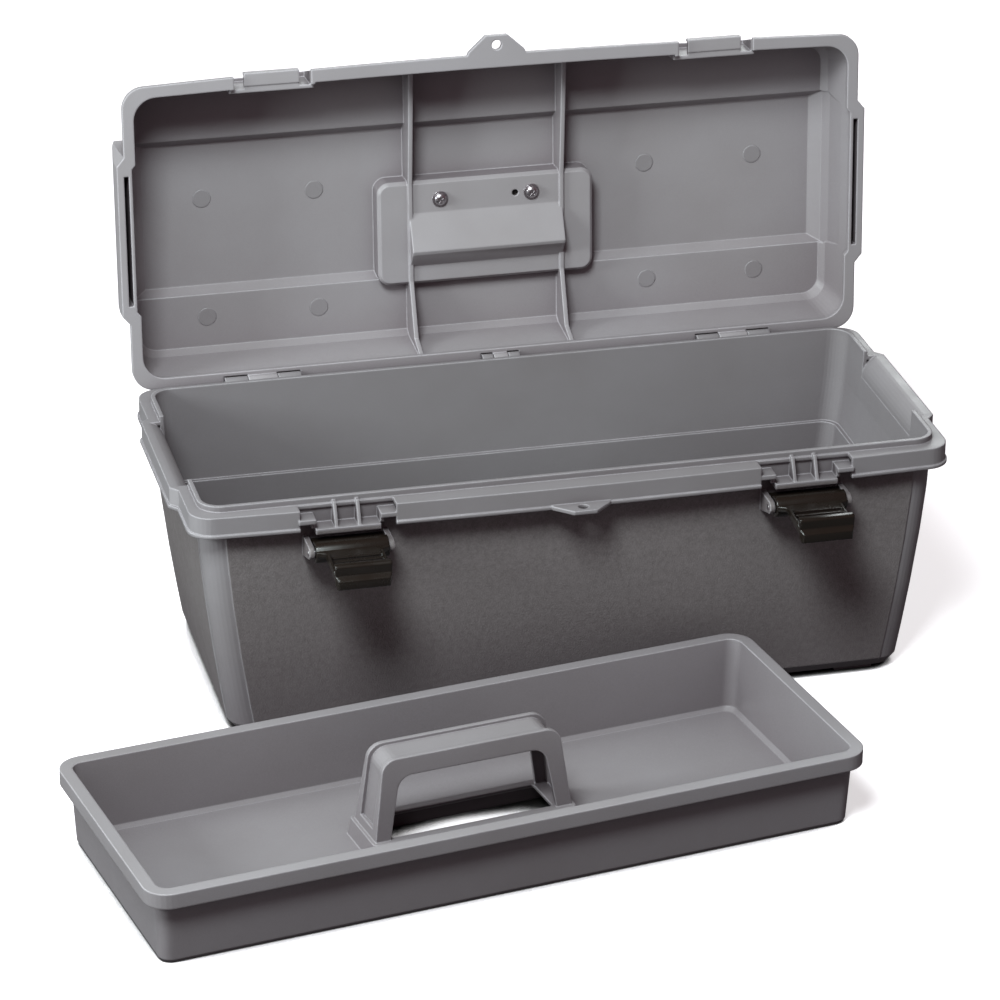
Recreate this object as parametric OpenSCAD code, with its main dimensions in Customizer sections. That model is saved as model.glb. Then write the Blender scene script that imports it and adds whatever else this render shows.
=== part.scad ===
// Twenty-inch moulded tool box: open lid, two draw latches, folding carry handle and lift-out tray.
// Frame: +X along the length, +Y towards the hinge, +Z up, origin on the floor under the body's middle.

/* [Body] */
// Length of the rim over its corners
rim_length = 504; // [496:2:512]
// Depth of the rim over its corners
rim_depth = 210; // [206:1:214]
// Height of the shelf that the lid sits on
shelf_z = 164; // [160:1:168]
// Thickness of the moulded walls
wall = 2.8; // [2.4:0.1:3.2]
// How far the end walls draw in at the floor
end_tuck = 19; // [12:1:24]
// Outward bow of the front rim at its middle
front_bow = 5; // [4:0.5:6]

/* [Lid] */
// Inside height of the lid's border
lid_height = 44; // [42:1:48]
// Extra height of the raised middle band
lid_rise = 7; // [5:0.5:8]
// Angle that the open lid stands at
lid_open = 94; // [90:1:100]

/* [Latches] */
// Distance of each latch from the middle
latch_x = 152; // [140:1:156]
// Width of the latch barrel
latch_width = 47.4; // [44:0.2:47.4]
// Angle between the open latch and the closed one
latch_open = 96; // [90:1:107]

/* [Carry handle] */
// Width over the handle's arms
handle_width = 108; // [106:1:112]
// Distance from the pivot to the middle of the grip
handle_reach = 45; // [42:1:46]

/* [Tray] */
// Length over the tray's rim
tray_length = 473; // [470:1:474]
// Depth over the tray's rim
tray_depth = 184; // [182:1:186]
// Height of the tray's rim
tray_height = 52; // [48:1:56]
// Height of the tray handle's top
tray_handle_z = 67; // [64:1:72]
// Turn of the tray where it stands in front of the box
tray_turn = 9.3; // [0:0.1:10]

/* [Hidden] */
$fn = 48;

plastic_grey = [0.46, 0.47, 0.47];
tray_grey = [0.42, 0.43, 0.43];
latch_black = [0.07, 0.07, 0.07];
steel = [0.75, 0.75, 0.76];
eps = 0.02;
gap = 0.4;

// Plan of the body
rim_hx = rim_length / 2;
rim_hy = rim_depth / 2;
rim_r = 15;
wall_hx = rim_hx - 7;
wall_hy = rim_hy - 8;
wall_r = 15;
bulge_out = 5;
bulge_half = 58;
bulge_slant = 6;
corner_steps = 8;
bow_steps = 20;

// Heights of the body
foot_h = 3;
draw_power = 1.5;
side_tuck = 2.5;
tub_levels = [9, 30, 60, 98, 130];
panel_proud = 0.5;
panel_in = 15;
skirt_h = 14;
skirt_t = 2.5;
skirt_z = shelf_z - skirt_h;
shelf_t = 2.5;
tongue_h = 4;
lip_h = 2.2;
lip_out = 1.2;
ledge_z = 100;
ledge_w = 3;
foot_half = [13, 10];
// Middles of the feet: four near the corners and one under the middle of the floor
foot_places = [[0, 0], [-196, -78], [196, -78], [-196, 78], [196, 78]];

// Sweep of the end walls out to the wide part of the rim
flare_x = wall_hx - wall - 0.5;
flare_run = rim_hx + bulge_out - skirt_t - flare_x - 1;
flare_z = shelf_z - 15;
flare_half = bulge_half - 7;
flare_t = 2.4;
cheek_t = 2;

// Hinge line
hinge_y = rim_hy;
hinge_z = shelf_z - 1.2;
knuckle_r = 4.6;
knuckle_clear = 5.3;
pin_r = 2;
running_r = 2.05;
side_hinge_x = 165;
side_hinge_half = 26;
mid_hinge_half = 13;
// Middle and half-length of each hinge group
hinge_groups = [[-side_hinge_x, side_hinge_half], [0, mid_hinge_half], [side_hinge_x, side_hinge_half]];

// Latches
latch_y = -rim_hy - 10;
latch_z = shelf_z - 25.5;
latch_half = latch_width / 2;
bay_half = 31;
ear_inner = 24.2;
ear_outer = 27.6;
ear_r = 4.2;
latch_pin_end = 28.2;
barrel_r = 7;
flap_half = latch_half - 5.5;
flap_tip = 42;
bay_y = -wall_hy - 1.4;
sill_front = -rim_hy - 3.6;
sill_half = 21;
sill_t = 3.6;
stop_t = 2.5;
gusset_x = 6.4;
gusset_t = 2.2;

// Lid, drawn closed and then turned about the hinge
lid_z = shelf_z + 0.3;
rim_face = 3.4;
lid_hx = rim_hx + 1;
lid_hy = rim_hy;
lid_wall = 2.5;
lid_r = 16;
lid_top = lid_z + lid_height + lid_wall;
front_lean = 6;
rise_front = -54;
rise_back = 56;
rise_slope = 5;
lid_peak = lid_top + lid_rise;
tongue_clear = 0.5;
rim_in_x = wall_hx + tongue_clear;
rim_in_y = wall_hy + tongue_clear;
rib_x = 53;
rib_t = 3;
pan_hx = 73;
pan_front = -12;
pan_back = rise_back;
pan_r = 6;
pan_soft = 2;
pan_depth = 15;
pan_floor = lid_peak - pan_depth;
// Ends of the raised band: outer skin, hollow, and the slot between its two skins
band_out_x = lid_hx + bulge_out;
band_in_x = lid_hx - 5;
slot_x = lid_hx - 2.8;
slot_t = 3.2;
slot_half = 45;
slot_depth = 36;
pocket_hx = 51;
pocket_front = 9;
pocket_deep = 33;
pocket_back = 44;
pocket_drop = 10;

// Bays in the lid's front wall above the latches
bay_hx = 26;
bay_t = 2.4;
bay_low = shelf_z + tongue_h + 0.7;
bay_top = lid_z + 24;
bay_wall_y = 0.2 - rim_in_y;
keeper_half = 18.5;
spare_hole_x = 20.7;

// Padlock eyes
eye_y = -rim_hy - front_bow - 5.8;
eye_r = 3.4;
eye_tip = 6.6;

// Carry handle
screw_x = 32;
screw_y = -1;
screw_r = 2;
screw_clear_r = 2.25;
head_r = 3.9;
head_h = 2.4;
washer_r = 5.4;
washer_t = 0.9;
pivot_y = -3;
pivot_z = pan_floor + 5.6;
trunnion_r = 3;
trunnion_bore = 3.06;
bracket_hx = 43.4;
arm_w = 9;
arm_inner = handle_width / 2 - arm_w;
trunnion_in = 37;
bracket_bore_in = 36.4;

// Tray, drawn square to the box and then placed
tray_x = -109.6;
tray_y = -245.2;
tray_hx = tray_length / 2;
tray_r = 16;
tray_hy = tray_depth / 2;
tray_wall = 2.2;
tray_rim_w = 7;
tray_skirt = 10;
plinth_hx = 68;
plinth_hy = 21;
plinth_z = 14;
opening_hx = 54;
opening_hy = 15;
grip_hx = 60;
grip_hy = 13;
leg_hx = 66;
leg_hy = 18;
grip_t = 12;
leg_t = 10;

// Points of a quarter-round or any other arc
function arc(x, y, r, from, to, steps) =
    [for (i = [0:steps]) let (a = from + (to - from) * i / steps) [x + r * cos(a), y + r * sin(a)]];

// Rounded rectangle whose front side may bow outwards
function outline(hx, hy, r, bow) = concat(
    arc(hx - r, hy - r, r, 0, 90, corner_steps),
    arc(r - hx, hy - r, r, 90, 180, corner_steps),
    arc(r - hx, r - hy, r, 180, 270, corner_steps),
    bow > 0 ? [for (i = [1:bow_steps - 1]) let (u = 2 * i / bow_steps - 1)
        [u * (hx - r), -hy - bow * (1 - u * u)]] : [],
    arc(hx - r, r - hy, r, 270, 360, corner_steps)
);

// Share of the draw-in that a wall has at a height: none at the shelf and all of it at the floor
function draw(z) = pow(max(0, 1 - z / shelf_z), draw_power);

// Half-length of the end walls and half-depth of the long walls at a height
function end_half(z) = wall_hx - end_tuck * draw(z);
function side_half(z) = wall_hy - side_tuck * draw(z);

module plan(hx, hy, r, bow = 0) {
    polygon(outline(hx, hy, r, bow));
}

// Plan of a rim, with the wider middle part of both ends
module rim_plan(hx, hy, r, bow, inset = 0) {
    plan(hx - inset, hy - inset, r - inset, bow);
    for (side = [-1, 1]) scale([side, 1]) polygon([
        [hx - 12, -bulge_half + inset],
        [hx - inset - eps, -bulge_half + inset],
        [hx + bulge_out - inset, -bulge_half + bulge_slant + inset / 2],
        [hx + bulge_out - inset, bulge_half - bulge_slant - inset / 2],
        [hx - inset - eps, bulge_half - inset],
        [hx - 12, bulge_half - inset]
    ]);
}

// Extrudes a profile drawn in Y and Z along X, between two X values
module along_x(x0, x1) {
    translate([x0, 0, 0]) rotate([90, 0, 90]) linear_extrude(x1 - x0) children();
}

// Extrudes a profile drawn in X and Z along Y, between two Y values
module along_y(y0, y1) {
    translate([0, y1, 0]) rotate([90, 0, 0]) linear_extrude(y1 - y0) children();
}

module slab(z, t, hx, hy, r) {
    translate([0, 0, z]) linear_extrude(t) plan(hx, hy, r);
}

// ---------------------------------------------------------------- body

// Level outline of the tub at a height, drawn in by an inset
module tub_slab(z, inset) {
    slab(z, eps, end_half(z) - inset, side_half(z) - inset, wall_r - inset);
}

module tub_outside() {
    hull() {
        for (z = concat(tub_levels, [shelf_z + tongue_h - eps])) tub_slab(z, 0);
        slab(foot_h, eps, end_half(foot_h) - 4, side_half(foot_h) - 4, wall_r - 4);
    }
    tub_panels();
}

// Slightly proud flat panels between the tub's smooth corners
module tub_panels() {
    hull() for (z = concat(tub_levels, [skirt_z + 1])) translate([0, 0, z])
        linear_extrude(eps) square([2 * (end_half(z) - panel_in), 2 * (side_half(z) + panel_proud)], true);
    hull() for (z = concat(tub_levels, [skirt_z + 1])) translate([0, 0, z])
        linear_extrude(eps) square([2 * (end_half(z) + panel_proud), 2 * (side_half(z) - panel_in)], true);
}

// Hollow of the tub: the wall is thicker below the ledge that the tray's rim sits on
module tub_inside() {
    hull() for (z = [ledge_z, (ledge_z + shelf_z) / 2, shelf_z]) tub_slab(z, wall);
    slab(shelf_z, 60, wall_hx - wall, wall_hy - wall, wall_r - wall);
    hull() {
        for (z = [10, 30, 60]) tub_slab(z, wall);
        tub_slab(ledge_z + 1, wall + ledge_w);
        slab(foot_h + wall, eps, end_half(foot_h) - 7, side_half(foot_h) - 7, wall_r - 7);
    }
}

module rim_flange() {
    translate([0, 0, shelf_z - shelf_t]) linear_extrude(shelf_t) difference() {
        rim_plan(rim_hx, rim_hy, rim_r, front_bow);
        plan(wall_hx - 1, wall_hy - 1, wall_r - 1);
    }
    translate([0, 0, skirt_z]) linear_extrude(skirt_h) difference() {
        rim_plan(rim_hx, rim_hy, rim_r, front_bow);
        rim_plan(rim_hx, rim_hy, rim_r, front_bow, skirt_t);
    }
    translate([0, 0, skirt_z]) linear_extrude(lip_h) difference() {
        rim_plan(rim_hx, rim_hy, rim_r, front_bow, -lip_out);
        rim_plan(rim_hx, rim_hy, rim_r, front_bow, skirt_t);
    }
}

// Curve of the end wall where it sweeps out to the wide part of the rim
function flare_curve(dx, dz) =
    [for (i = [0:8]) let (a = 90 * i / 8)
        [flare_x + dx + flare_run * (1 - cos(a)), flare_z + dz + (shelf_z - flare_z) * sin(a)]];

module flare_wall() {
    back_curve = flare_curve(flare_t, -flare_t);
    along_y(-flare_half, flare_half) polygon(concat(
        flare_curve(0, 0),
        [for (i = [8:-1:0]) back_curve[i]]
    ));
    for (y = [-flare_half - cheek_t, flare_half]) along_y(y, y + cheek_t) polygon(concat(
        flare_curve(0, 0),
        [
            [rim_hx + bulge_out - 1, shelf_z], [rim_hx + bulge_out - 1, shelf_z - 8],
            [wall_hx - 1, flare_z - 4]
        ]
    ));
}

module flare_cut() {
    along_y(-flare_half, flare_half) polygon(concat(
        flare_curve(0, 0),
        [[flare_x + flare_run, shelf_z + 20], [flare_x - 3, shelf_z + 20], [flare_x - 3, flare_z]]
    ));
}

// Half-open bay in the front rim, with the latch's ears, sill and gussets
module latch_bay_cut() {
    translate([-bay_half, -rim_hy - 20, skirt_z - 1])
        cube([2 * bay_half, bay_y + rim_hy + 20, 40]);
}

module latch_bay() {
    for (side = [-1, 1]) scale([side, 1, 1]) {
        translate([sill_half, sill_front, skirt_z + 5])
            cube([bay_half - sill_half + 1, bay_y - sill_front + 2, 3]);
        along_x(ear_inner, ear_outer) {
            translate([latch_y, latch_z]) circle(r = ear_r);
            polygon([
                [-wall_hy + 1, latch_z + ear_r], [latch_y, latch_z + ear_r],
                [latch_y, latch_z - ear_r], [-wall_hy + 1, latch_z - 2.4 * ear_r]
            ]);
        }
        along_x(gusset_x, gusset_x + gusset_t) polygon([
            [-wall_hy + 1, skirt_z], [sill_front + 0.6, skirt_z], [bay_y - 2, shelf_z + 1.5],
            [-wall_hy + 1, shelf_z + 1.5]
        ]);
    }
    translate([-sill_half, sill_front, skirt_z - 2.5]) cube([2 * sill_half, bay_y - sill_front + 2, sill_t]);
    for (x = [-sill_half - stop_t, sill_half])
        translate([x, sill_front + 3, skirt_z + 1]) cube([stop_t, bay_y - sill_front - 1, 6]);
}

// Half-moon knuckle of one hinge leaf: barrel, and the web that joins it to its rim
module body_knuckle(x0, x1) {
    along_x(x0, x1) {
        translate([hinge_y, hinge_z]) circle(r = knuckle_r);
        polygon([
            [rim_hy - 3, shelf_z - 9], [rim_hy + 0.5, shelf_z - 9], [hinge_y + 4.3, hinge_z - 1.7],
            [hinge_y, hinge_z], [rim_hy - 3, shelf_z - 0.4]
        ]);
    }
}

module lid_knuckle(x0, x1) {
    along_x(x0, x1) {
        translate([hinge_y, hinge_z]) circle(r = knuckle_r);
        polygon([
            [lid_hy - 3, lid_z + 0.4], [hinge_y, hinge_z - 0.6], [hinge_y + 4.4, hinge_z + 1.4],
            [lid_hy - 1, lid_z + 11], [lid_hy - 3, lid_z + 11]
        ]);
    }
}

// X spans of the leaves of one group: the body's outer pair and the lid's middle one
function lid_span(g) = [g[0] - g[1] / 2.6, g[0] + g[1] / 2.6];
function body_spans(g) = [[g[0] - g[1], lid_span(g)[0] - gap], [lid_span(g)[1] + gap, g[0] + g[1]]];

module hinge_bores(r) {
    for (g = hinge_groups) along_x(g[0] - g[1] - 1, g[0] + g[1] + 1)
        translate([hinge_y, hinge_z]) circle(r = r);
}

module padlock_plate(z, t) {
    translate([0, 0, z]) linear_extrude(t) difference() {
        polygon([
            [-21, -rim_hy - front_bow + 2.5], [-19, -rim_hy - front_bow - 2], [-7.5, eye_y - eye_tip],
            [7.5, eye_y - eye_tip], [19, -rim_hy - front_bow - 2], [21, -rim_hy - front_bow + 2.5]
        ]);
        translate([0, eye_y]) circle(r = eye_r);
    }
}

module body_shell() {
    color(plastic_grey) difference() {
        union() {
            difference() {
                union() {
                    tub_outside();
                    rim_flange();
                    for (side = [-1, 1]) scale([side, 1, 1]) flare_wall();
                }
                tub_inside();
                for (side = [-1, 1]) scale([side, 1, 1]) flare_cut();
                for (side = [-1, 1]) translate([side * latch_x, 0, 0]) latch_bay_cut();
                for (g = hinge_groups)
                    along_x(lid_span(g)[0] - gap, lid_span(g)[1] + gap)
                        translate([hinge_y, hinge_z]) circle(r = knuckle_clear);
            }
            for (side = [-1, 1]) translate([side * latch_x, 0, 0]) latch_bay();
            for (g = hinge_groups) for (s = body_spans(g)) body_knuckle(s[0], s[1]);
            padlock_plate(skirt_z, 2.6);
            for (place = foot_places)
                translate([place[0] - foot_half[0], place[1] - foot_half[1], 0])
                    cube([2 * foot_half[0], 2 * foot_half[1], foot_h + 1]);
        }
        hinge_bores(pin_r);
        for (side = [-1, 1])
            along_x(side * latch_x - bay_half - 1, side * latch_x + bay_half + 1)
                translate([latch_y, latch_z]) circle(r = pin_r);
    }
}

module hinge_pin(g) {
    color(steel) along_x(g[0] - g[1] + 0.5, g[0] + g[1] - 0.5)
        translate([hinge_y, hinge_z]) circle(r = pin_r);
}

// ---------------------------------------------------------------- latches

// Side profile of the latch standing closed, with its pivot at the origin
module latch_profile() {
    circle(r = barrel_r);
    polygon([[0.5, 0], [4, 0], [4, 38], [2, 41.5], [-4, 41.5], [-4.6, 40.2], [0.5, 36]]);
    polygon([[3.8, 37.8], [3.8, 35.2], [9.2, 35.2], [9.2, 33.2], [11.2, 33.2], [11.2, 36.6], [10, 37.8]]);
    polygon([[-2, 0], [3, 0], [2.9, -13], [-2, -13]]);
}

module latch(x) {
    color(latch_black) translate([x, latch_y, latch_z]) rotate([latch_open, 0, 0]) difference() {
        union() {
            intersection() {
                along_x(-latch_half, latch_half) latch_profile();
                along_y(-20, 20) polygon([
                    [-latch_half, -20], [latch_half, -20], [latch_half, barrel_r + 0.5],
                    [flap_half, barrel_r + 2.5], [flap_half, flap_tip - 4],
                    [flap_half - 2, flap_tip], [2 - flap_half, flap_tip],
                    [-flap_half, flap_tip - 4], [-flap_half, barrel_r + 2.5], [-latch_half, barrel_r + 0.5]
                ]);
            }
            for (z = [16, 21, 26]) along_x(2 - flap_half, flap_half - 2)
                translate([3.8, z]) square([1.6, 2]);
            for (side = [-1, 1]) scale([side, 1, 1]) along_x(flap_half - 2, flap_half)
                    polygon([[3.8, 10], [5.5, 12], [5.5, 33], [3.8, 35]]);
        }
        along_x(-30, 30) circle(r = running_r);
    }
}

module latch_pin(x) {
    color(steel) along_x(x - latch_pin_end, x + latch_pin_end)
        translate([latch_y, latch_z]) circle(r = pin_r);
}

// ---------------------------------------------------------------- lid

// Turns the closed lid's space into the open one
module lid_space() {
    translate([0, hinge_y, hinge_z]) rotate([-lid_open, 0, 0])
        translate([0, -hinge_y, -hinge_z]) children();
}

// Level outline of the lid, drawn in on every side and drawn in further at the front
module lid_slab(z, inset, lean) {
    translate([0, lean / 2, z]) linear_extrude(eps)
        plan(lid_hx - inset, lid_hy - inset - lean / 2, lid_r - inset / 3, front_bow);
}

module lid_outside() {
    hull() {
        lid_slab(lid_z, 0.5, 0);
        lid_slab(lid_z + 8, 1.6, 1.2);
        lid_slab(lid_top - 8, 6.6, front_lean - 0.8);
        lid_slab(lid_top - 2.5, 8, front_lean);
        lid_slab(lid_top - eps, 11.5, front_lean);
    }
}

module lid_inside() {
    hull() {
        lid_slab(lid_z - 1, 0.5 + lid_wall, 0);
        lid_slab(lid_z + 8, 1.6 + lid_wall, 1.2);
        lid_slab(lid_top - 8, 6.6 + lid_wall, front_lean - 0.8);
        lid_slab(lid_top - lid_wall - eps, 10 + lid_wall, front_lean);
    }
}

// Raised band across the lid's top and down both ends, grown by a wall thickness, from a base height up
module band(t, end_x, base) {
    low = lid_top - lid_wall + t;
    high = lid_peak - lid_wall + t;
    half = bulge_half - lid_wall + t;
    intersection() {
        along_x(-end_x, end_x) polygon([
            [-half, base], [rise_front - t, low], [rise_front - t + rise_slope, high],
            [rise_back + t - rise_slope, high], [rise_back + t, low], [half, base]
        ]);
        along_y(-rim_hy, rim_hy) polygon([
            [-end_x, base], [-end_x, lid_z + 12], [3 - end_x, lid_top - 10], [6 - end_x, high - 6],
            [14 - end_x, high], [end_x - 14, high], [end_x - 6, high - 6], [end_x - 3, lid_top - 10],
            [end_x, lid_z + 12], [end_x, base]
        ]);
        translate([0, 0, base]) linear_extrude(lid_peak) polygon([
            [-end_x, bulge_slant - half], [bulge_out - end_x, -half], [end_x - bulge_out, -half],
            [end_x, bulge_slant - half], [end_x, half - bulge_slant], [end_x - bulge_out, half],
            [bulge_out - end_x, half], [-end_x, half - bulge_slant]
        ]);
    }
}

// Outer form of the whole lid
module lid_form() {
    lid_outside();
    band(lid_wall, band_out_x, lid_z);
}

// Plan of the recess for the carry handle, grown by a distance
module pan_plan(grow) {
    translate([0, (pan_front + pan_back) / 2])
        plan(pan_hx + grow, (pan_back - pan_front) / 2 + grow, pan_r + grow);
}

// Profile in Y and Z of the recess for the carry handle and its finger pocket
module pan_cut() {
    translate([0, 0, pan_floor]) linear_extrude(60) pan_plan(0);
    along_x(-pocket_hx, pocket_hx) polygon([
        [pocket_front, pan_floor + eps], [pocket_deep, pan_floor - pocket_drop],
        [pocket_back, pan_floor + eps]
    ]);
}

// Walls of the recess, before they are cut to the lid's form
module pan_block() {
    translate([0, 0, pan_floor - lid_wall + pan_soft]) linear_extrude(60) pan_plan(lid_wall);
    hull() {
        translate([0, 0, pan_floor - lid_wall]) linear_extrude(eps) pan_plan(lid_wall - pan_soft);
        translate([0, 0, pan_floor - lid_wall + pan_soft]) linear_extrude(eps) pan_plan(lid_wall);
    }
    along_x(-pocket_hx - lid_wall, pocket_hx + lid_wall) polygon([
        [pocket_front - 1, pan_floor], [pocket_front - 1, pan_floor - lid_wall],
        [pocket_deep - 0.4, pan_floor - pocket_drop - lid_wall],
        [pocket_deep + 2, pan_floor - pocket_drop - lid_wall + 0.8],
        [pocket_back + 1.6, pan_floor - lid_wall], [pocket_back + 1.6, pan_floor]
    ]);
}

// Bay in the lid's front wall above each latch, with the keeper that the latch's claw hooks over
module keeper_cut(x) {
    translate([x - bay_hx, -rim_hy - 20, lid_z - 1])
        cube([2 * bay_hx, bay_wall_y + rim_hy + 20, bay_top - lid_z + 1]);
}

module bay_block(x) {
    difference() {
        translate([x - bay_hx - bay_t, -rim_hy - 20, lid_z])
            cube([2 * (bay_hx + bay_t), bay_wall_y + bay_t + rim_hy + 20, bay_top - lid_z + bay_t]);
        keeper_cut(x);
        translate([x - bay_hx - bay_t - 1, -rim_in_y - 1, lid_z - 1])
            cube([2 * (bay_hx + bay_t) + 2, 10, bay_low - lid_z + 1]);
    }
}

module keeper(x) {
    along_x(x - keeper_half, x + keeper_half) polygon([
        [bay_wall_y + 1, bay_low], [bay_wall_y - 1.5, bay_low], [bay_wall_y - 2.4, lid_z + 3.7],
        [-rim_hy - 3, lid_z + 3.7], [-rim_hy - 3, lid_z + 9],
        [-rim_hy - 1.2, lid_z + 9], [-rim_hy - 1.2, lid_z + 6.7], [bay_wall_y + 1, lid_z + 6.7]
    ]);
}

module lid_rim() {
    translate([0, 0, lid_z]) linear_extrude(rim_face) difference() {
        rim_plan(lid_hx, lid_hy, rim_r, front_bow - 0.6);
        plan(rim_in_x, rim_in_y, wall_r + tongue_clear, front_bow - 2);
    }
}

// Slot between the two skins of the band at one end
module lid_end_slot() {
    translate([slot_x, -slot_half, lid_z - 1]) cube([slot_t, 2 * slot_half, slot_depth + 1]);
}

// Ribs across the lid, from the hinge side to the front
module lid_ribs() {
    for (side = [-1, 1]) along_x(side * rib_x - rib_t / 2, side * rib_x + rib_t / 2) polygon([
        [-lid_hy - 3, lid_z + 3], [-lid_hy + 9, lid_z + 26], [pan_front, pan_floor - lid_wall - 1.5],
        [pan_back, pan_floor - lid_wall - 1.5], [lid_hy - 12, lid_z + 22], [lid_hy - 3, lid_z + 2],
        [lid_hy, lid_peak], [-lid_hy, lid_peak]
    ]);
}

module screw_holes(r) {
    for (x = [-screw_x, spare_hole_x, screw_x])
        translate([x, screw_y, pan_floor - lid_wall - 5]) cylinder(r = r, h = lid_wall + 10);
}

module lid_shell() {
    color(plastic_grey) lid_space() difference() {
        union() {
            difference() {
                union() {
                    difference() {
                        lid_form();
                        lid_inside();
                    }
                    lid_rim();
                }
                band(0, band_in_x, lid_z - 1);
                for (side = [-1, 1]) {
                    keeper_cut(side * latch_x);
                    scale([side, 1, 1]) lid_end_slot();
                }
                for (g = hinge_groups) for (s = body_spans(g))
                    along_x(s[0] - gap, s[1] + gap)
                        translate([hinge_y, hinge_z]) circle(r = knuckle_clear);
            }
            intersection() {
                lid_form();
                union() {
                    pan_block();
                    lid_ribs();
                    for (side = [-1, 1]) bay_block(side * latch_x);
                }
            }
            for (side = [-1, 1]) keeper(side * latch_x);
            for (g = hinge_groups) lid_knuckle(lid_span(g)[0], lid_span(g)[1]);
            padlock_plate(lid_z, rim_face);
        }
        pan_cut();
        screw_holes(screw_clear_r);
        hinge_bores(running_r);
    }
}

// ---------------------------------------------------------------- carry handle

module handle_bracket() {
    color(latch_black) lid_space() difference() {
        along_x(-bracket_hx, bracket_hx) {
            translate([pivot_y, pivot_z]) circle(r = 5.2);
            polygon([
                [pivot_y - 7, pan_floor + eps], [pivot_y + 9, pan_floor + eps],
                [pivot_y + 9, pan_floor + 4], [pivot_y + 4, pivot_z + 3.3],
                [pivot_y - 4, pivot_z + 3.3], [pivot_y - 7, pan_floor + 4]
            ]);
        }
        for (side = [-1, 1]) scale([side, 1, 1]) along_x(bracket_bore_in, bracket_hx + 1)
            translate([pivot_y, pivot_z]) circle(r = trunnion_bore);
        for (x = [-screw_x, screw_x]) translate([x, screw_y, pan_floor - 1]) cylinder(r = screw_r, h = 9);
    }
}

module handle_screws() {
    color(steel) lid_space() for (x = [-screw_x, screw_x]) translate([x, screw_y, 0]) {
        translate([0, 0, pan_floor - lid_wall - 1]) cylinder(r = screw_r, h = lid_wall + 8);
        difference() {
            translate([0, 0, pan_floor - lid_wall - washer_t]) intersection() {
                translate([0, 0, 3.2]) sphere(r = 6);
                translate([0, 0, -head_h]) cylinder(r = head_r, h = head_h);
            }
            for (turn = [45, 135]) translate([0, 0, pan_floor - lid_wall - 4]) rotate(turn)
                translate([-2.2, -0.5, -1]) cube([4.4, 1, 2.3]);
        }
    }
}

module handle_washers() {
    color(steel) lid_space() for (x = [-screw_x, screw_x])
        translate([x, screw_y, pan_floor - lid_wall - washer_t]) difference() {
            cylinder(r = washer_r, h = washer_t);
            translate([0, 0, -1]) cylinder(r = screw_clear_r, h = washer_t + 2);
        }
}

// Side profile of an arm: round about the pivot, and on to the grip
module arm_profile() {
    translate([pivot_y, pivot_z]) circle(r = 5);
    translate([pivot_y, pivot_z - 4.4]) square([handle_reach, 8.8]);
}

module carry_handle() {
    grip_y = pivot_y + handle_reach;
    color(latch_black) lid_space() difference() {
        union() {
            for (side = [-1, 1]) scale([side, 1, 1]) {
                along_x(arm_inner, arm_inner + arm_w) arm_profile();
                along_x(trunnion_in, arm_inner + 1) translate([pivot_y, pivot_z]) circle(r = trunnion_r);
            }
            along_x(-arm_inner - arm_w, arm_inner + arm_w) {
                translate([grip_y, pivot_z + 0.4]) circle(r = 5.2);
                translate([grip_y - 5, pivot_z + 1]) square([10, 4]);
                translate([grip_y - 3, pivot_z - 4.4]) square([7, 9]);
            }
        }
        for (x = [-36:12:36]) translate([x - 0.8, grip_y - 8, pivot_z - 8]) cube([1.6, 20, 4.6]);
    }
}

// ---------------------------------------------------------------- tray

module tray_space() {
    translate([tray_x, tray_y, 0]) rotate(tray_turn) children();
}

module tray_slab(z, t, inset) {
    slab(z, t, tray_hx - inset, tray_hy - inset, tray_r - min(inset, tray_r / 2));
}

// Outline of the handle seen from the tray's long side
module handle_front(inset, top) {
    polygon(concat(
        [[leg_hx - inset, plinth_z - 2], [inset - leg_hx, plinth_z - 2]],
        arc(inset + 10 - grip_hx, top - 10, 10, 170, 90, 6),
        arc(grip_hx - 10 - inset, top - 10, 10, 90, 10, 6)
    ));
}

// Outline of the handle seen from the tray's end
module handle_side(inset, top) {
    polygon([
        [leg_hy - inset, plinth_z - 2], [inset - leg_hy, plinth_z - 2],
        [inset - grip_hy, top], [grip_hy - inset, top]
    ]);
}

module tray_handle() {
    difference() {
        intersection() {
            along_y(-40, 40) handle_front(0, tray_handle_z);
            along_x(-100, 100) handle_side(0, tray_handle_z);
        }
        along_y(-40, 40) handle_front(leg_t, tray_handle_z - grip_t);
        intersection() {
            along_y(-40, 40) handle_front(2.4, tray_handle_z - 4.4);
            along_x(-100, 100) handle_side(2.4, tray_handle_z - 4.4);
        }
        difference() {
            along_x(-100, 100) translate([3 - grip_hy, 20]) square([2 * grip_hy - 6, 100]);
            along_y(-40, 40) handle_front(2.2, tray_handle_z - 2.2);
        }
    }
}

module plinth(inset, z) {
    hull() {
        slab(z, eps, plinth_hx - inset, plinth_hy - inset, 3);
        slab(0, eps, plinth_hx + 2 - inset, plinth_hy + 2 - inset, 3);
    }
}

module lift_out_tray() {
    color(tray_grey) tray_space() {
        difference() {
            union() {
                hull() {
                    tray_slab(0, eps, tray_rim_w + 3.4);
                    tray_slab(2.5, eps, tray_rim_w + 2);
                    tray_slab(tray_height - 1, 1, tray_rim_w - 0.6);
                }
                tray_slab(tray_height - 2.4, 2.4, 0);
                difference() {
                    tray_slab(tray_height - tray_skirt, tray_skirt, 0);
                    translate([0, 0, -1]) tray_slab(tray_height - tray_skirt, tray_skirt, tray_wall);
                }
            }
            difference() {
                hull() {
                    tray_slab(tray_wall + 0.3, eps, tray_rim_w + tray_wall + 4.4);
                    tray_slab(5, eps, tray_rim_w + tray_wall + 2);
                    tray_slab(tray_height + 1, eps, tray_rim_w + tray_wall - 1);
                }
                plinth(0, plinth_z);
            }
            translate([0, 0, -1]) plinth(tray_wall, plinth_z - tray_wall + 1);
            slab(-1, plinth_z + 2, opening_hx, opening_hy, 2);
        }
        tray_handle();
    }
}

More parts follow.
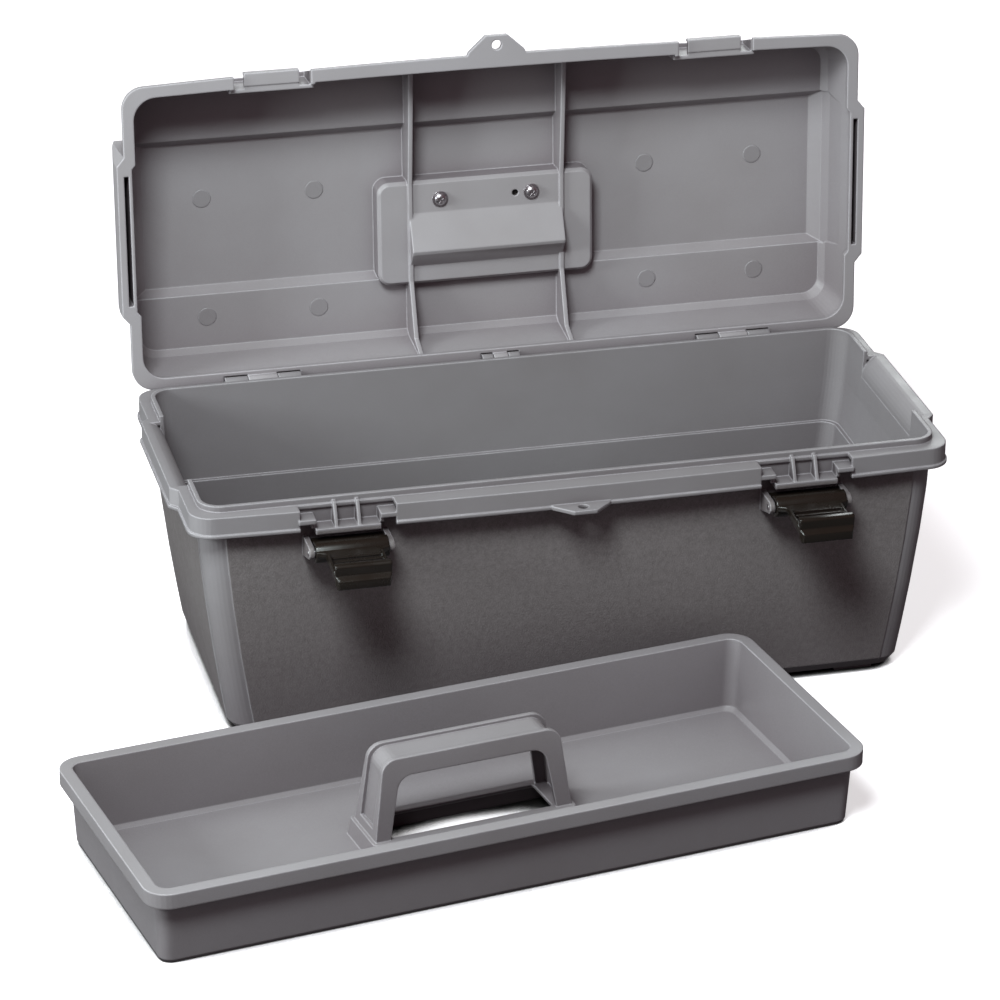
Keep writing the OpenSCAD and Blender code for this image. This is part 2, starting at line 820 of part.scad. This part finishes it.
body_shell();
hinge_pin(hinge_groups[0]);  // hinge_pin_left
hinge_pin(hinge_groups[1]);  // hinge_pin_centre
hinge_pin(hinge_groups[2]);  // hinge_pin_right
latch(-latch_x);  // latch_left
latch(latch_x);  // latch_right
latch_pin(-latch_x);  // latch_pin_left
latch_pin(latch_x);  // latch_pin_right
lid_shell();
handle_bracket();
handle_screws();
handle_washers();
carry_handle();
lift_out_tray();
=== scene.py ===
import math

import bmesh
import bpy
from mathutils import Matrix, Vector
from mathutils.bvhtree import BVHTree


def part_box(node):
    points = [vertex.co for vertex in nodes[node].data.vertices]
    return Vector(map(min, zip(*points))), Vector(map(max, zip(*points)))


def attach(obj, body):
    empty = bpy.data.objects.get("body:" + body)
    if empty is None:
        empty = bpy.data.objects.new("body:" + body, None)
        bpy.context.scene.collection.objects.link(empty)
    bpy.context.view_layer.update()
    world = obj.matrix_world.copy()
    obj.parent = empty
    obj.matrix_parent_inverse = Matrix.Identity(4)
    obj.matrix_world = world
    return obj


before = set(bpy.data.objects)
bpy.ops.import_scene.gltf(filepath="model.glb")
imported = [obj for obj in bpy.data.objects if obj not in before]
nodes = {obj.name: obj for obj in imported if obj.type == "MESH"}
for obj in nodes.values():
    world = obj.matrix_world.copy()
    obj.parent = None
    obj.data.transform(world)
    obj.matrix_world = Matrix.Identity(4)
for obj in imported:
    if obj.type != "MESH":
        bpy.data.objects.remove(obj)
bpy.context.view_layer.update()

MM = 0.001

scene = bpy.context.scene


# ---------------------------------------------------------------- material nodes

class Graph:
    """Short-hand for building one material's node tree."""

    def __init__(self, name):
        self.material = bpy.data.materials.new(name)
        self.material.use_nodes = True
        self.tree = self.material.node_tree
        self.shader = self.tree.nodes["Principled BSDF"]
        self.place = self.add("ShaderNodeTexCoord").outputs["Object"]

    def add(self, kind, **values):
        node = self.tree.nodes.new(kind)
        for key, value in values.items():
            setattr(node, key, value)
        return node

    def join(self, source, target):
        self.tree.links.new(source, target)

    def put(self, target, value):
        if isinstance(value, bpy.types.NodeSocket):
            self.join(value, target)
        else:
            target.default_value = value

    def math(self, operation, a, b=0.0):
        node = self.add("ShaderNodeMath", operation=operation)
        self.put(node.inputs[0], a)
        self.put(node.inputs[1], b)
        return node.outputs[0]

    def noise(self, scale, detail=3.0, rough=0.5, stretch=None):
        node = self.add("ShaderNodeTexNoise")
        node.inputs["Scale"].default_value = scale
        node.inputs["Detail"].default_value = detail
        node.inputs["Roughness"].default_value = rough
        if stretch:
            mapping = self.add("ShaderNodeMapping")
            mapping.inputs["Scale"].default_value = stretch
            self.join(self.place, mapping.inputs["Vector"])
            self.join(mapping.outputs[0], node.inputs["Vector"])
        else:
            self.join(self.place, node.inputs["Vector"])
        return node.outputs["Fac"]

    def cells(self, scale):
        node = self.add("ShaderNodeTexVoronoi")
        node.inputs["Scale"].default_value = scale
        self.join(self.place, node.inputs["Vector"])
        return node.outputs["Distance"]

    def span(self, value, low, high, to_low=0.0, to_high=1.0):
        node = self.add("ShaderNodeMapRange")
        self.put(node.inputs["Value"], value)
        limits = {"From Min": low, "From Max": high, "To Min": to_low, "To Max": to_high}
        for key, number in limits.items():
            self.put(node.inputs[key], number)
        return node.outputs["Result"]

    def mix(self, factor, a, b):
        node = self.add("ShaderNodeMix", data_type="RGBA")
        self.put(node.inputs["Factor"], factor)
        self.put(node.inputs["A"], a)
        self.put(node.inputs["B"], b)
        return node.outputs["Result"]

    def edges(self, radius, low=0.02, high=0.30):
        """0 on flat faces and 1 on sharp corners, with the softened normal."""
        bevel = self.add("ShaderNodeBevel", samples=6)
        bevel.inputs["Radius"].default_value = radius
        geometry = self.add("ShaderNodeNewGeometry")
        dot = self.add("ShaderNodeVectorMath", operation="DOT_PRODUCT")
        self.join(bevel.outputs["Normal"], dot.inputs[0])
        self.join(geometry.outputs["Normal"], dot.inputs[1])
        bend = self.math("SUBTRACT", 1.0, dot.outputs["Value"])
        return self.span(bend, low, high), bevel.outputs["Normal"]

    def open_sky(self, distance, samples):
        """1 in the open and towards 0 in corners and closed-in places."""
        node = self.add("ShaderNodeAmbientOcclusion", samples=samples)
        node.inputs["Distance"].default_value = distance
        return node.outputs["AO"]

    def bump(self, height, strength, distance, normal=None):
        node = self.add("ShaderNodeBump")
        self.put(node.inputs["Strength"], strength)
        node.inputs["Distance"].default_value = distance
        self.join(height, node.inputs["Height"])
        if normal is not None:
            self.join(normal, node.inputs["Normal"])
        return node.outputs["Normal"]


def grey(value, warm=0.0):
    """A grey, a little red and a little short of green, as the plastic is, and warmer on request."""
    return (value * (1.03 + warm), value * 0.965, value * (1.0 - warm), 1.0)


# Widths, sizes and depths of the finishes, of the painted edge highlight and of the painted shade
EDGE_HIGHLIGHT_WIDTH = 1.5 * MM
SHADE_REACH = 180 * MM
PIT_DEPTH = 0.4 * MM


def grain(g, base, mask, colour, roughness, height):
    """Adds a dark coarse grain to a plastic where the mask is 1."""
    specks = g.noise(900.0, 2.0, 0.7)
    blotch = g.span(g.noise(260.0, 2.0, 0.6), 0.3, 0.7)
    dark = g.mix(blotch, grey(base * 0.56, 0.05), grey(base * 0.74, 0.04))
    speckle = g.math("MULTIPLY", g.span(specks, 0.42, 0.66), mask)
    colour = g.mix(mask, colour, dark)
    colour = g.mix(g.math("MULTIPLY", speckle, 0.45), colour, grey(base * 0.98, 0.03))
    roughness = g.math("ADD", roughness, g.math("MULTIPLY", mask, 0.22))
    relief = g.math("MULTIPLY", g.math("MULTIPLY", specks, mask), 1.2)
    return colour, roughness, g.math("ADD", height, relief), g.span(mask, 0.0, 1.0, 0.10, 0.55)


def moulded(name, base, grain_mask=None, rough=(0.36, 0.52), edge_highlight_amount=0.8, warm=0.0):
    """Moulded plastic: cloudy colour, fine pits, painted shade in corners, pale edges of painted highlight,
    and grain where masked.
    """
    g = Graph(name)
    cloud = g.span(g.noise(9.0, 4.0, 0.6), 0.3, 0.7)
    flow = g.span(g.noise(3.2, 3.0, 0.55, stretch=(1.0, 1.0, 2.5)), 0.35, 0.7, 0.0, 0.35)
    edge, soft = g.edges(EDGE_HIGHLIGHT_WIDTH)
    edge_highlight = g.math("MULTIPLY", edge, g.span(g.noise(60.0, 3.0, 0.6), 0.3, 0.7, edge_highlight_amount * 0.5, edge_highlight_amount))
    colour = g.mix(cloud, grey(base * 0.92, warm + 0.012), grey(base * 1.06, warm - 0.004))
    colour = g.mix(flow, colour, grey(base * 1.16, warm - 0.012))
    roughness = g.span(g.noise(40.0, 4.0, 0.6), 0.3, 0.7, *rough)
    height = g.math("MULTIPLY", g.cells(1100.0), 0.35)
    strength = 0.10
    if grain_mask is not None:
        colour, roughness, height, strength = grain(g, base, grain_mask(g), colour, roughness, height)
    # Painted shade: corners, recesses and walls closed in by nearby parts are darkened towards a purplish
    # dark grey
    painted_shade = g.span(g.open_sky(SHADE_REACH, 4), 0.15, 0.85, 0.75, 0.0)
    colour = g.mix(painted_shade, colour, (base * 0.27, base * 0.19, base * 0.225, 1.0))
    # Painted highlight: pale, patchy lines along the sharp edges
    colour = g.mix(edge_highlight, colour, grey(min(0.8, base * 2.5), -0.02))
    g.join(colour, g.shader.inputs["Base Color"])
    g.join(roughness, g.shader.inputs["Roughness"])
    g.join(g.bump(height, strength, PIT_DEPTH, soft), g.shader.inputs["Normal"])
    return g.material


# The tub's flat panels, from the body's box: the shelf is just below its top, the end walls are inside
# its wide ends, and the front wall is behind its latch ears
body_low, body_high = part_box("body_shell")
SHELF_Z = body_high.z - 4 * MM
WALL_HX = body_high.x - 13.2 * MM
WALL_HY = -body_low.y - 25.4 * MM
INNER_HY = WALL_HY - 2.8 * MM
END_TUCK, DRAW_POWER = 19 * MM, 1.5
PANEL_IN = 15 * MM
SKIRT_Z = 150 * MM
STEP = 0.3 * MM


def tub_grain(g):
    """1 on the flat panels outside the tub, 0 on its smooth corners, its rim and its inside."""
    split = g.add("ShaderNodeSeparateXYZ")
    g.join(g.place, split.inputs[0])
    length = g.math("ABSOLUTE", split.outputs["X"])
    depth = g.math("ABSOLUTE", split.outputs["Y"])
    height = split.outputs["Z"]
    share = g.math("POWER", g.span(height, 0.0, SHELF_Z, 1.0, 0.0), DRAW_POWER)
    end = g.math("SUBTRACT", WALL_HX, g.math("MULTIPLY", share, END_TUCK))
    past_end = g.math("SUBTRACT", length, end)
    outer_long = g.span(depth, INNER_HY, INNER_HY + 0.2 * MM)
    outer_end = g.span(past_end, -1.0 * MM, -0.8 * MM)
    off_ends = g.span(past_end, -PANEL_IN - STEP, -PANEL_IN, 1.0, 0.0)
    off_sides = g.span(depth, WALL_HY - PANEL_IN - 3 * MM, WALL_HY - PANEL_IN - 2 * MM, 1.0, 0.0)
    long_side = g.math("MULTIPLY", outer_long, off_ends)
    end_side = g.math("MULTIPLY", outer_end, off_sides)
    below = g.span(height, SKIRT_Z - STEP, SKIRT_Z, 1.0, 0.0)
    return g.math("MULTIPLY", below, g.math("MAXIMUM", long_side, end_side))


def metal(name, base):
    """Plated steel with fine turning marks and a painted highlight along its edges."""
    g = Graph(name)
    marks = g.noise(900.0, 3.0, 0.6, stretch=(1.0, 6.0, 1.0))
    edge, soft = g.edges(0.0003)
    colour = g.mix(g.span(marks, 0.3, 0.7), grey(base * 0.8, 0.01), grey(base, -0.01))
    # Painted highlight: lighter along the sharp edges
    colour = g.mix(edge, colour, grey(min(1.0, base * 1.3)))
    g.join(colour, g.shader.inputs["Base Color"])
    g.join(g.span(marks, 0.3, 0.7, 0.22, 0.42), g.shader.inputs["Roughness"])
    g.join(g.bump(marks, 0.08, 0.0001, soft), g.shader.inputs["Normal"])
    g.shader.inputs["Metallic"].default_value = 1.0
    return g.material


def paint(obj, material):
    obj.data.materials.clear()
    obj.data.materials.append(material)


body_plastic = moulded("body_plastic", 0.27, tub_grain)
lid_plastic = moulded("lid_plastic", 0.37)
tray_plastic = moulded("tray_plastic", 0.31, rough=(0.30, 0.42))
latch_plastic = moulded("latch_plastic", 0.009, rough=(0.20, 0.32), edge_highlight_amount=0.25, warm=0.35)
steel = metal("steel", 0.62)

finish = {
    "body_shell": body_plastic, "lid_shell": lid_plastic, "lift_out_tray": tray_plastic,
    "latch_left": latch_plastic, "latch_right": latch_plastic,
    "handle_bracket": latch_plastic, "carry_handle": latch_plastic,
}
for name, obj in nodes.items():
    paint(obj, finish.get(name, steel))


# ---------------------------------------------------------------- rounded mould edges

WELD_REACH = 0.004 * MM
FLAT_WITHIN = math.radians(0.3)
SHARP_ABOVE = math.radians(32)
EDGE_WIDTH = 0.7 * MM
FINER_EDGES = {
    "latch_left": 0.5 * MM, "latch_right": 0.5 * MM,
    "handle_screws": 0.15 * MM, "handle_washers": 0.15 * MM,
}


def round_edges(obj, width):
    """Joins the shape's split corners and rounds its sharp edges with real geometry."""
    weld = obj.modifiers.new("weld", "WELD")
    weld.merge_threshold = WELD_REACH
    flat = obj.modifiers.new("flat", "DECIMATE")
    flat.decimate_type = "DISSOLVE"
    flat.angle_limit = FLAT_WITHIN
    bevel = obj.modifiers.new("round", "BEVEL")
    bevel.width = width
    bevel.segments = 3
    bevel.limit_method = "ANGLE"
    bevel.angle_limit = SHARP_ABOVE
    bevel.use_clamp_overlap = True
    bevel.miter_outer = "MITER_SHARP"


for name, obj in nodes.items():
    if not name.startswith(("hinge_pin", "latch_pin")):
        round_edges(obj, FINER_EDGES.get(name, EDGE_WIDTH))


# ---------------------------------------------------------------- ejector marks

# Marks left inside the lid by the mould's ejector pins, as a plain mirrored grid: columns are shares of
# the lid's half length and rows are shares of its height when open
MARK_COLUMNS = (-0.75, -0.45, 0.45, 0.75)
MARK_ROWS = (0.15, 0.5)
MARK_R = 6.5 * MM
MARK_RAISE = 0.12 * MM


def ejector_marks(material):
    """Slightly raised discs on the lid's inner face, each laid flat on the surface it meets."""
    lid = nodes["lid_shell"].data
    low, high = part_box("lid_shell")
    middle, size = (low + high) / 2, high - low
    tree = BVHTree.FromPolygons([v.co for v in lid.vertices], [p.vertices for p in lid.polygons])
    backwards = Vector((0.0, 1.0, 0.0))
    bm = bmesh.new()
    for across in MARK_COLUMNS:
        for up in MARK_ROWS:
            start = Vector((middle.x + across * size.x / 2, 0.0, low.z + up * size.z))
            place, normal, _, _ = tree.ray_cast(start, backwards)
            if place is None or normal.y > -0.9:
                raise ValueError(f"the lid has no flat surface for the mark at {start}")
            turn = normal.to_track_quat("Z", "Y").to_matrix().to_4x4()
            bmesh.ops.create_cone(
                bm, cap_ends=True, segments=40, radius1=MARK_R, radius2=MARK_R - MARK_RAISE,
                depth=2 * MARK_RAISE, matrix=Matrix.Translation(place) @ turn)
    mesh = bpy.data.meshes.new("ejector_marks")
    bm.to_mesh(mesh)
    bm.free()
    obj = bpy.data.objects.new("ejector_marks", mesh)
    scene.collection.objects.link(obj)
    mesh.materials.append(material)
    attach(obj, "lid")


ejector_marks(moulded("mark_plastic", 0.32, rough=(0.30, 0.40)))


# ---------------------------------------------------------------- stage, light and camera

# The pale card that the object stands on
CARD_SEEN = 0.95
CARD_BOUNCE = 0.10
CARD_LIFT = 0.62
CARD_SHADE_REACH = 60 * MM
FLOOR_FRONT, FLOOR_BACK, FLOOR_HALF, FLOOR_TOP = -4.0, 2.2, 6.0, 6.0
SWEEP_R, SWEEP_STEPS = 1.2, 12


def card(name):
    """Pale studio card that throws back less light than it shows, with painted shade, near black, where it
    is closed in.
    """
    g = Graph(name)
    seen_directly = g.add("ShaderNodeLightPath").outputs["Is Camera Ray"]
    pale = g.mix(g.span(g.noise(2.0), 0.3, 0.7), grey(CARD_SEEN * 0.995), grey(CARD_SEEN))
    # Painted shade: where the object closes the card in, as under the tray's handle slot and along the
    # object's foot, the card is shown near black and without its glow
    unshaded_card = g.math("POWER", g.span(g.open_sky(CARD_SHADE_REACH, 16), 0.30, 0.50), 2.0)
    seen = g.mix(unshaded_card, grey(0.01, 0.1), pale)
    glow = g.math("MULTIPLY", seen_directly, g.math("MULTIPLY", unshaded_card, CARD_LIFT))
    g.join(g.mix(seen_directly, grey(CARD_BOUNCE), seen), g.shader.inputs["Base Color"])
    g.join(glow, g.shader.inputs["Emission Strength"])
    g.shader.inputs["Emission Color"].default_value = (1.0, 1.0, 1.0, 1.0)
    g.shader.inputs["Roughness"].default_value = 0.9
    return g.material


def make_floor():
    """One sheet of pale card: flat under the object and curving up far behind it."""
    mesh = bpy.data.meshes.new("floor")
    profile = [(FLOOR_FRONT, 0.0), (FLOOR_BACK, 0.0)]
    for i in range(1, SWEEP_STEPS + 1):
        a = math.radians(90 * i / SWEEP_STEPS)
        profile.append((FLOOR_BACK + SWEEP_R * math.sin(a), SWEEP_R * (1 - math.cos(a))))
    profile.append((FLOOR_BACK + SWEEP_R, FLOOR_TOP))
    bm = bmesh.new()
    rows = [[bm.verts.new((x, y, z)) for y, z in profile] for x in (-FLOOR_HALF, FLOOR_HALF)]
    for i in range(len(profile) - 1):
        bm.faces.new((rows[0][i], rows[1][i], rows[1][i + 1], rows[0][i + 1]))
    for f in bm.faces:
        f.smooth = True
    bm.normal_update()
    bm.to_mesh(mesh)
    bm.free()
    floor = bpy.data.objects.new("floor", mesh)
    scene.collection.objects.link(floor)
    floor.data.materials.append(card("card"))


AMBIENT_COLOUR = (1.0, 0.58, 0.68, 1.0)
AMBIENT_STRENGTH = 0.12


def make_world():
    """White to look at, and a weak warm light on the object."""
    world = bpy.data.worlds.new("world")
    world.use_nodes = True
    tree = world.node_tree
    output = tree.nodes["World Output"]
    ambient = tree.nodes["Background"]
    ambient.inputs["Color"].default_value = AMBIENT_COLOUR
    ambient.inputs["Strength"].default_value = AMBIENT_STRENGTH
    backdrop = tree.nodes.new("ShaderNodeBackground")
    backdrop.inputs["Color"].default_value = (1.0, 1.0, 1.0, 1.0)
    backdrop.inputs["Strength"].default_value = 1.0
    path = tree.nodes.new("ShaderNodeLightPath")
    mix = tree.nodes.new("ShaderNodeMixShader")
    tree.links.new(path.outputs["Is Camera Ray"], mix.inputs["Fac"])
    tree.links.new(ambient.outputs[0], mix.inputs[1])
    tree.links.new(backdrop.outputs[0], mix.inputs[2])
    tree.links.new(mix.outputs[0], output.inputs["Surface"])
    scene.world = world
    scene.view_settings.view_transform = "Standard"


# Square lamps, all turned to the middle of the object: place, side length, watts and colour
AIM = Vector((0.0, -0.08, 0.12))
LAMPS = {
    "key": ((-0.75, -1.25, 2.0), 0.7, 56, (0.90, 1.0, 1.0)),
    "side": ((-1.45, -0.25, 0.62), 0.4, 15, (0.90, 1.0, 1.0)),
    "back": ((0.9, 2.4, 1.5), 1.2, 26, (0.95, 1.0, 1.0)),
}


def make_lamp(name, place, size, power, colour):
    data = bpy.data.lights.new(name, "AREA")
    data.size = size
    data.energy = power
    data.color = colour
    lamp = bpy.data.objects.new(name, data)
    lamp.location = place
    lamp.rotation_euler = (AIM - Vector(place)).to_track_quat("-Z", "Y").to_euler()
    scene.collection.objects.link(lamp)


# The viewpoint: a long lens in front of the box, a little to its left and looking down
CAMERA_PLACE = (-0.6890, -2.6319, 1.3695)
CAMERA_TURN, CAMERA_TILT, CAMERA_ROLL = (math.radians(a) for a in (14.14, 24.94, 0.466))
LENS, SENSOR = 161.92, 36.0


def make_camera():
    data = bpy.data.cameras.new("camera")
    data.sensor_width = SENSOR
    data.lens = LENS
    data.clip_start, data.clip_end = 0.05, 60.0
    level = math.cos(CAMERA_TILT)
    forward = Vector((
        math.sin(CAMERA_TURN) * level, math.cos(CAMERA_TURN) * level, -math.sin(CAMERA_TILT)))
    roll = Matrix.Rotation(CAMERA_ROLL, 3, "Z").to_quaternion()
    camera = bpy.data.objects.new("camera", data)
    camera.rotation_mode = "QUATERNION"
    camera.rotation_quaternion = forward.to_track_quat("-Z", "Y") @ roll
    camera.location = CAMERA_PLACE
    scene.collection.objects.link(camera)
    scene.camera = camera


make_camera()
make_floor()
for name, lamp in LAMPS.items():
    make_lamp(name, *lamp)
make_world()
